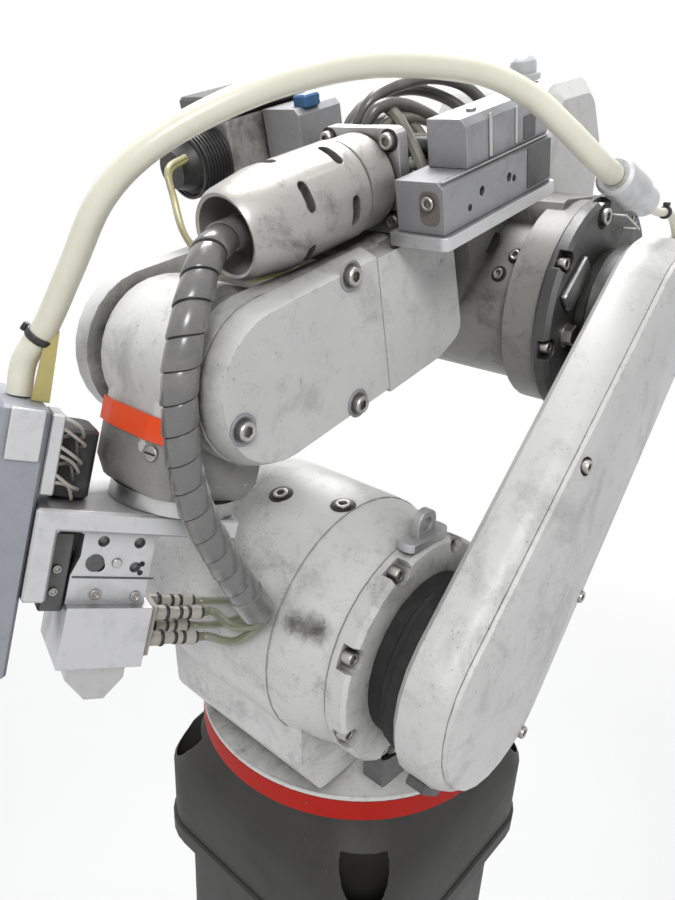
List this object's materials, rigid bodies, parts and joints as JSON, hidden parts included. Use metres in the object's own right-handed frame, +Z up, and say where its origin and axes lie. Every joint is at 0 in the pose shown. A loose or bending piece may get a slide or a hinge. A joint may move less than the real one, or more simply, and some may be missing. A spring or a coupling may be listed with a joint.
{
  "type": "six-axis industrial robot arm",
  "caption": "Small articulated industrial robot arm on a square steel pedestal, with a dress package, hoses and a compact gripper tool.",
  "frame": {"origin": "centre of the pedestal foot's underside, on the floor", "axes": "+Z up along the base's turning axis; the arm reaches forward along +X, and its lower arm stands on the +Y side"},
  "size_m": [0.5923, 0.45, 1.3149],
  "materials": {
    "white_paint": "semi-gloss light grey-white paint, speckled and worn",
    "grey_paint": "satin dark grey paint",
    "red_paint": "satin red-orange paint",
    "dark_metal": "dark worn metal",
    "aluminium": "machined, dull",
    "steel": "machined steel",
    "black_plastic": "black plastic",
    "cable_sheath": "black cable sheath",
    "conduit_wrap": "wrapped grey conduit",
    "cream_hose": "cream hose",
    "olive_tube": "olive air tube"
  },
  "bodies": {
    "pedestal": {"pedestal_foot": "grey_paint", "pedestal_column": "grey_paint", "pedestal_top": "grey_paint", "base_casting": "grey_paint", "base_connector_box": "grey_paint"},
    "swivel": {"swivel_casting": "white_paint", "swivel_band": "red_paint", "shoulder_flange": "white_paint", "shoulder_end_cap": "white_paint", "shoulder_clip": "steel", "shoulder_stop": "dark_metal"},
    "lower_arm": {"shoulder_hub": "white_paint", "elbow_hub": "dark_metal", "lower_arm_casting": "white_paint", "lower_arm_cover": "white_paint", "lower_arm_stop": "dark_metal", "hose_anchor": "white_paint", "hose_coupling": "aluminium", "hose_tail": "cream_hose"},
    "elbow": {"elbow_casting": "white_paint", "elbow_ring": "white_paint", "elbow_motor_housing": "white_paint", "status_lamp": "white_paint", "hose_elbow": "cream_hose"},
    "forearm": {"forearm_flange": "white_paint", "forearm_casting": "white_paint", "forearm_side_cover": "white_paint", "forearm_back_cover": "dark_metal", "dress_plate": "aluminium", "gland_flange": "aluminium", "gland_barrel": "aluminium", "valve_block_lower": "aluminium", "valve_block_upper": "aluminium", "valve_block_far": "aluminium", "junction_box": "white_paint", "junction_lid": "aluminium", "junction_plug": "black_plastic", "dress_cable_1": "cable_sheath", "dress_cable_2": "cable_sheath", "conduit_upper": "conduit_wrap", "hose_forearm": "cream_hose"},
    "wrist": {"wrist_casting": "white_paint", "conduit_middle": "conduit_wrap", "hose_wrist": "cream_hose"},
    "tool": {"tool_adapter": "steel", "tool_bracket": "aluminium", "tool_side_plate": "aluminium", "tool_head_block": "steel", "sensor_housing": "black_plastic", "gripper_body": "aluminium", "gripper_jaw_left": "steel", "gripper_jaw_right": "steel", "tool_slide": "black_plastic", "gripper_fittings": "steel", "conduit_lower": "conduit_wrap", "hose_tool": "cream_hose", "tool_tube_1": "olive_tube", "tool_tube_2": "olive_tube"}
  },
  "joints": [
    {"name": "base_turn", "type": "hinge", "parent": "pedestal", "child": "swivel", "pos_m": [0, 0, 0.6], "axis": [0, 0, 1], "range_deg": [-170, 170]},
    {"name": "shoulder", "type": "hinge", "parent": "swivel", "child": "lower_arm", "pos_m": [0.078, 0, 0.9], "axis": [0, 1, 0], "range_deg": [-60, 55]},
    {"name": "elbow_pitch", "type": "hinge", "parent": "lower_arm", "child": "elbow", "pos_m": [-0.11474, 0, 1.12728], "axis": [0, -1, 0], "range_deg": [-3, 150], "deforming": ["hose_elbow"]},
    {"name": "forearm_roll", "type": "hinge", "parent": "elbow", "child": "forearm", "pos_m": [-0.10079, 0, 1.18047], "axis": [0.9673, 0, -0.2538], "range_deg": [-8, 90], "deforming": ["hose_forearm"]},
    {"name": "wrist_bend", "type": "hinge", "parent": "forearm", "child": "wrist", "pos_m": [0.17585, 0, 1.1079], "axis": [0, 1, 0], "range_deg": [-110, 5], "deforming": ["conduit_upper", "hose_wrist", "conduit_middle"]},
    {"name": "tool_turn", "type": "hinge", "parent": "wrist", "child": "tool", "pos_m": [0.19942, 0, 1.02936], "axis": [-0.2874, 0, 0.9578], "range_deg": [-25, 60], "deforming": ["conduit_lower", "hose_tool", "tool_tube_1", "tool_tube_2"]}
  ]
}
